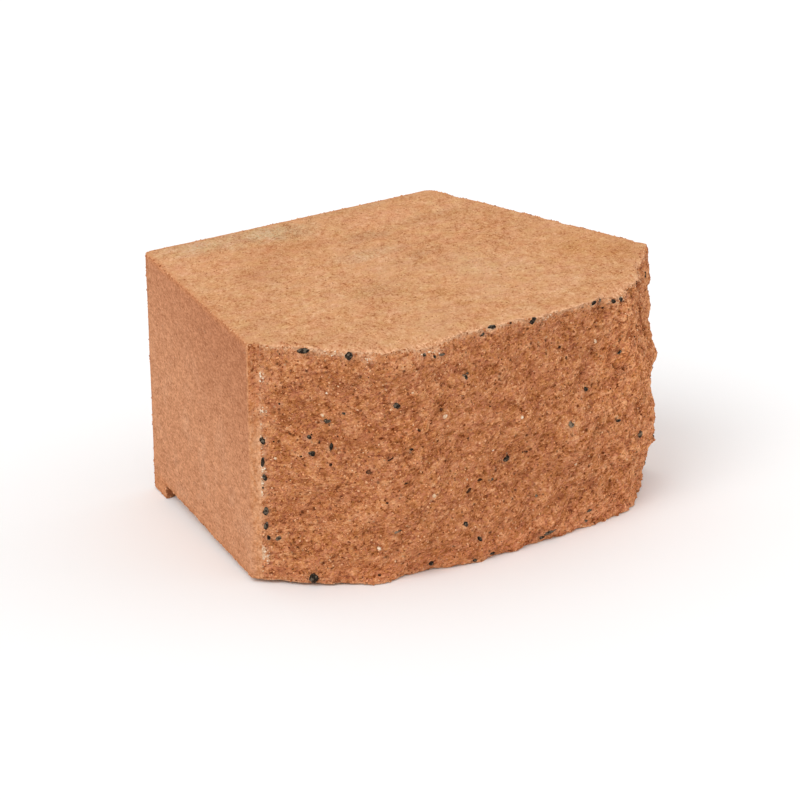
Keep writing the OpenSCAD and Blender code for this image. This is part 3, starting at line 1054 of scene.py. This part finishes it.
# the moulded arrises are worn and nicked, and the moulded flats a little wavy
moulded = (marks[:, 1] < 0.5) * 1.0
nick = np.clip(smoothNoise(points, mould["nicks"][0], 41) - 0.2, 0, 1) * 2.6 + 0.5
nick = nick + 0.4 * smoothNoise(points, mould["nicks"][1], 42)
arrisCut = mould["arrisLoss"] * np.clip(crease / mould["squareArris"], 0, 1.2) * nick * moulded
waveLength, waveHeight = mould["waviness"]
wave = waveHeight * fractalNoise(points, waveLength, 3, 43) * moulded * (crease < mould["flatBelow"])
points = points + normals * (wave - arrisCut)[:, None]
blockPiece = newObject("retaining_wall_block", toSeat(points), faces, kinds,
                       [splitStone(), topStone(), sideStone()])
for column, name in enumerate(("relief", "arris", "groove", "halo")):
    addAttribute(blockPiece, name, marks[:, column])
blockPiece.data.shade_smooth()
blockPiece.data.set_sharp_from_angle(angle=math.radians(mould["sharpFrom"]))
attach(blockPiece, "root")
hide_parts("block")

# chips and sand in their own pieces

stoneShape = {
    "cuts": 7,                 # flats on each stone
    "furthestCut": 0.88,       # of a flat from the middle, in radii of the uncut ball
    "turnBy": 0.2,             # how far a stone may be turned from its given turn, in radians
    "middle": 0.62,            # depth of its middle if none of it stood out, in half sizes
    "overFloor": 0.03 * mm,    # how far every stone stays above the floor
}


# stones: balls pushed in behind random flat cuts, then stretched to their sizes and sunk
def cutStones(seed, standOut, subdivisions, nearestCut, sizes, turns, centres, outward):
    ball = bpy.data.meshes.new("ball")
    b = bmesh.new()
    bmesh.ops.create_icosphere(b, subdivisions=subdivisions, radius=1)
    b.to_mesh(ball)
    b.free()
    shape = np.array([v.co for v in ball.vertices])
    triangles = np.array([p.vertices for p in ball.polygons])
    bpy.data.meshes.remove(ball)
    rng = np.random.default_rng(seed)
    count = len(centres)
    stones = np.repeat(shape[None], count, 0)
    for cut in range(stoneShape["cuts"]):
        facing = unit(rng.normal(size=(count, 3)))
        limit = rng.uniform(nearestCut, stoneShape["furthestCut"], count)
        over = np.einsum("ijk,ik->ij", stones, facing) - limit[:, None]
        stones -= np.clip(over, 0, None)[..., None] * facing[:, None]
    reference = np.where(np.abs(outward[:, 2:]) > 0.9, (0.0, 1.0, 0.0), (0.0, 0.0, 1.0))
    side = unit(np.cross(reference, outward))
    up = np.cross(outward, side)
    turnBy = stoneShape["turnBy"]
    angle = (turns + rng.uniform(-turnBy, turnBy, count))[:, None]
    first = side * np.cos(angle) + up * np.sin(angle)
    second = up * np.cos(angle) - side * np.sin(angle)
    deep = np.minimum(sizes[:, 0], sizes[:, 1])
    placed = (stones[..., :1] * sizes[:, None, :1] * first[:, None]
              + stones[..., 1:2] * sizes[:, None, 1:2] * second[:, None]
              + stones[..., 2:] * deep[:, None, None] * outward[:, None])
    placed += (centres - outward * (deep * (stoneShape["middle"] - standOut))[:, None])[:, None]
    index = triangles[None] + (np.arange(count) * len(shape))[:, None, None]
    return placed, index.reshape(-1, 3)


# a piece of such stones, each lifted clear of the floor, with a random tone of its own
def stonePiece(name, material, seed, *stones):
    placed, triangles = cutStones(seed, *stones)
    count, perStone = placed.shape[:2]
    seated = toSeat(placed.reshape(-1, 3)).reshape(count, perStone, 3)
    seated[..., 2] += np.clip(stoneShape["overFloor"] - seated[..., 2].min(1), 0, None)[:, None]
    made = newObject(name, seated.reshape(-1, 3), [triangles], [np.zeros(len(triangles))], [material])
    tones = np.random.default_rng(seed + 1).uniform(0, 1, count)
    addAttribute(made, "tone", np.repeat(tones, perStone))
    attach(made, "root")


smoothFace = np.stack([softened(face[..., k], 1) for k in range(3)], axis=-1)


# the place on the split at a distance across and up, a little smoothed, and the way out of it
def onSplit(x, z):
    column = np.clip(np.searchsorted(face[0, :, 0], x), 0, face.shape[1] - 1)
    row = np.clip(np.searchsorted(face[:, face.shape[1] // 2, 2], z), 0, face.shape[0] - 1)
    return pulled(smoothFace[row, column]), faceNormal[row, column]


# the chips of each kind, then pale bits and crumbs, the crumbs scattered round their places
def addChips():
    for seed, kind in (51, "dark"), (54, "brown"), (57, "grey"):
        row = np.array([(*chip, 0)[:5] for chip in chips[kind]])
        stonePiece(kind + "_chips", chipStone(kind + "Stone", *chips["tones"][kind]), seed,
                   chips["standOut"], 2, 0.52, row[:, 2:4] * chips["beforeCuts"] * mm,
                   np.radians(row[:, 4]), *onSplit(row[:, 0] * mm, row[:, 1] * mm))
    rng = np.random.default_rng(52)
    crumbs = np.concatenate([rng.normal(size=(count, 2)) * (reachX * 0.6, reachZ * 0.6) + (x, z)
                             for x, z, reachX, reachZ, count in chips["crumbs"]])
    crumbs[:, 0] = np.clip(crumbs[:, 0], -grooveX / mm, grooveX / mm)
    crumbs = np.concatenate([crumbs, rng.uniform(*chips["crumbSize"], (len(crumbs), 2))], axis=1)
    x, z, *sizes = np.concatenate([chips["pale"], crumbs]).T * mm
    stonePiece("pale_chips", chipStone("paleStone", *chips["tones"]["pale"]), 53,
               chips["standOut"], 1, 0.6, np.stack(sizes, axis=1), rng.uniform(-1, 1, len(x)), *onSplit(x, z))


# the skin's triangles, and the kind of face each belongs to
def skinTriangles():
    parts = [(f[:, list(order)], k) for f, k in zip(faces, kinds)
             for order in ((0, 1, 2), (0, 2, 3))[:f.shape[1] - 2]]
    return [np.concatenate(rows) for rows in zip(*parts)]


sand = {
    # how many grains, their smallest and largest half size, and the share of it that stands out
    "split": (9000, 0.30 * mm, 0.85 * mm, 0.32),
    "top": (9600, 0.32 * mm, 0.80 * mm, 0.26),
    "arris": (6400, 0.35 * mm, 1.0 * mm, 0.40),
    "tries": 60,               # places tried for each grain, where a rule keeps only some
    "arrisFrom": (0.17, 0.1),  # how far the faces disagree at an arris, at least, and a random extra
    "bend": (0.005, 0.03),     # and at a round corner, from and to
    "bendShare": 0.25,         # share of the places kept there
}


# random places on some of the skin's triangles, evenly by area, kept by a rule on the triangle's
# points and the shares of them that make up the place
def addSand(name, corners, seed, tones, keep=None):
    count, smallest, largest, standOut = sand[name]
    rng = np.random.default_rng(seed)
    a, b, c = (points[corners[:, k]] for k in range(3))
    area = np.linalg.norm(np.cross(b - a, c - a), axis=1)
    tries = count * (sand["tries"] if keep else 1)
    pick = corners[rng.choice(len(corners), tries, p=area / area.sum())]
    share = rng.dirichlet((1, 1, 1), tries)
    if keep:
        kept = np.flatnonzero(keep(pick, share, rng))[:count]
        pick, share = pick[kept], share[kept]
    place = (points[pick] * share[..., None]).sum(1)
    outward = unit((normals[pick] * share[..., None]).sum(1))
    size = smallest + (largest - smallest) * rng.uniform(0, 1, (len(pick), 1)) ** 1.6
    size = size * rng.uniform(0.75, 1.25, (len(pick), 2))
    stonePiece(name + "_sand", sandStone(name + "Sand", tones), seed + 1,
               standOut, 1, 0.55, size, rng.uniform(-1.5, 1.5, len(size)), place, outward)


# the moulded arrises are where the faces round a point disagree most, and the round back corners
# where they disagree a little
def alongArris(pick, share, rng):
    turn = (crease[pick] * share).sum(1)
    least, extra = sand["arrisFrom"]
    sharp = turn > least + extra * rng.uniform(0, 1, len(pick))
    bent = (crease[pick].min(1) > sand["bend"][0]) & (crease[pick].max(1) < sand["bend"][1])
    return sharp | bent & (rng.uniform(0, 1, len(pick)) < sand["bendShare"])


addChips()
corners, kindOf = skinTriangles()
broken = (kindOf == kindSplit) | (marks[corners, 2] > 0.4).all(1)
addSand("split", corners[broken], 61, "sandTones")
addSand("top", corners[(kindOf == kindTop) & (normals[corners[:, 0], 2] > 0.7)], 63, "topSandTones")
addSand("arris", corners[(moulded[corners] > 0).any(1)], 65, "arrisTones", alongArris)
print("chips and sand set")

# floor and light

studio = {
    "floorSize": 60.0,
    "floor": (0.98, 0.98, 0.98),
    "worldLight": 0.78,
    "key": (-3.6, -1.4, 4.2, 1.10, 36),     # direction it comes from, strength, width in degrees
    "fill": (4.4, -1.8, 1.4, 0.56, 60),
}


# a light from far away, in the direction of a place, that shines at the block
def distantLight(name, x, y, z, strength, width):
    data = bpy.data.lights.new(name, "SUN")
    data.energy, data.angle = strength, math.radians(width)
    made = bpy.data.objects.new(name, data)
    made.location = (x, y, z)
    made.rotation_euler = (-Vector((x, y, z))).to_track_quat("-Z", "Y").to_euler()
    bpy.context.collection.objects.link(made)


# a wide pale floor, a white world behind it and two soft lights
def addStudio():
    half = studio["floorSize"] / 2
    corners = np.array([(-half, -half, 0), (half, -half, 0), (half, half, 0), (-half, half, 0)])
    n = Nodes("floorPaint")
    n.shader.inputs["Base Color"].default_value = (*studio["floor"], 1)
    n.shader.inputs["Roughness"].default_value = 0.9
    floor = newObject("floor", corners, [np.array([[0, 1, 2, 3]])], [np.zeros(1)], [n.material])
    # the camera sees the world white, whatever its strength as a light
    world = bpy.data.worlds.new("studio")
    world.use_nodes = True
    nodes = world.node_tree.nodes
    light, output = nodes["Background"], nodes["World Output"]
    seen, path, chosen = (nodes.new("ShaderNode" + k) for k in ("Background", "LightPath", "MixShader"))
    for background in (light, seen):
        background.inputs["Color"].default_value = (1, 1, 1, 1)
    light.inputs["Strength"].default_value = studio["worldLight"]
    for k, result in enumerate((path.outputs["Is Camera Ray"], light.outputs[0], seen.outputs[0])):
        world.node_tree.links.new(result, chosen.inputs[k])
    world.node_tree.links.new(chosen.outputs[0], output.inputs["Surface"])
    bpy.context.scene.world = world
    distantLight("key", *studio["key"])
    distantLight("fill", *studio["fill"])
    bpy.context.scene.view_settings.view_transform = "Standard"


addStudio()
print("studio lit")
